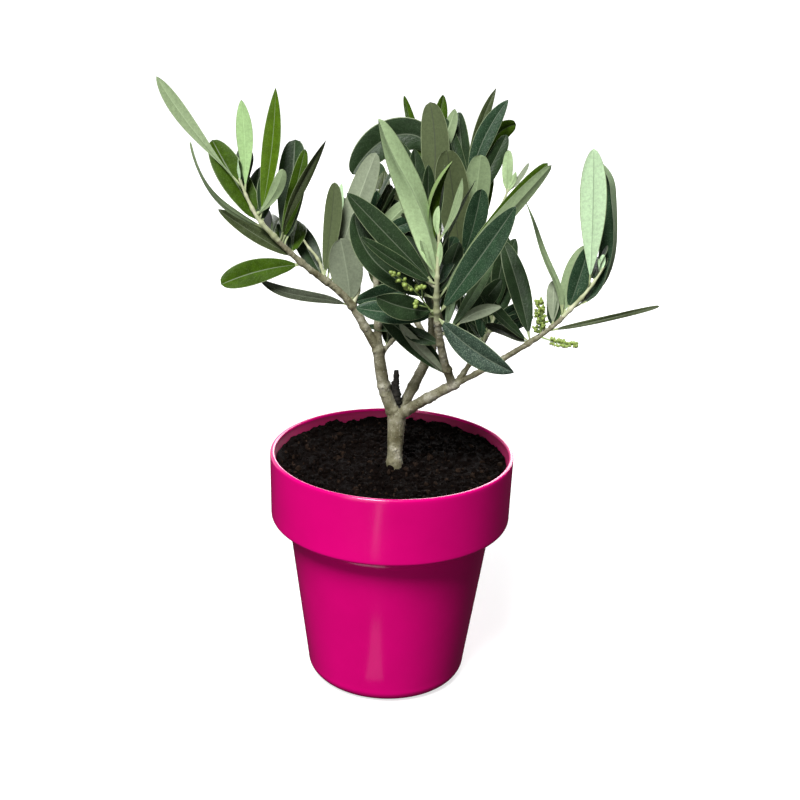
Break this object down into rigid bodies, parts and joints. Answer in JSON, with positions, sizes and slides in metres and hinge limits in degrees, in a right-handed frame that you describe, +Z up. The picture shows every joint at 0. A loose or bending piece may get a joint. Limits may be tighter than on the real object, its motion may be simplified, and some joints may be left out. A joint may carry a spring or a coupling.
{
  "type": "potted young olive tree",
  "caption": "Young olive tree with spreading boughs and long narrow leaves, growing in soil in a glossy tapered pot with a plain collar.",
  "frame": {"origin": "centre of the pot's flat underside", "axes": "+Z up along the pot's axis, -Y to the front, +X to the right"},
  "size_m": [0.2452, 0.1583, 0.3267],
  "materials": {
    "pot": "smooth glossy magenta plastic",
    "soil": "dark crumbly potting soil",
    "bark": "smooth grey-green young bark",
    "dead_wood": "blackened dry wood",
    "foliage": "leathery leaves, dark green above and pale grey-green below"
  },
  "bodies": {
    "root": {"pot": "pot", "soil": "soil", "trunk": "bark", "left_bough": "bark", "left_long_bough": "bark", "left_inner_bough": "bark", "left_short_bough": "bark", "right_bough": "bark", "centre_stem": "bark", "right_long_bough": "bark", "right_inner_bough": "bark", "middle_bough": "bark", "dead_stub": "dead_wood", "top_bough": "bark", "upper_right_bough": "bark", "back_bough": "bark", "centre_foliage": "foliage", "left_node_foliage": "foliage", "left_knuckle_foliage": "foliage", "left_tip_foliage": "foliage", "upper_left_foliage": "foliage", "top_foliage": "foliage", "upper_right_foliage": "foliage", "back_foliage": "foliage", "lower_right_foliage": "foliage", "right_tip_foliage": "foliage", "inner_foliage": "foliage"}
  },
  "joints": []
}
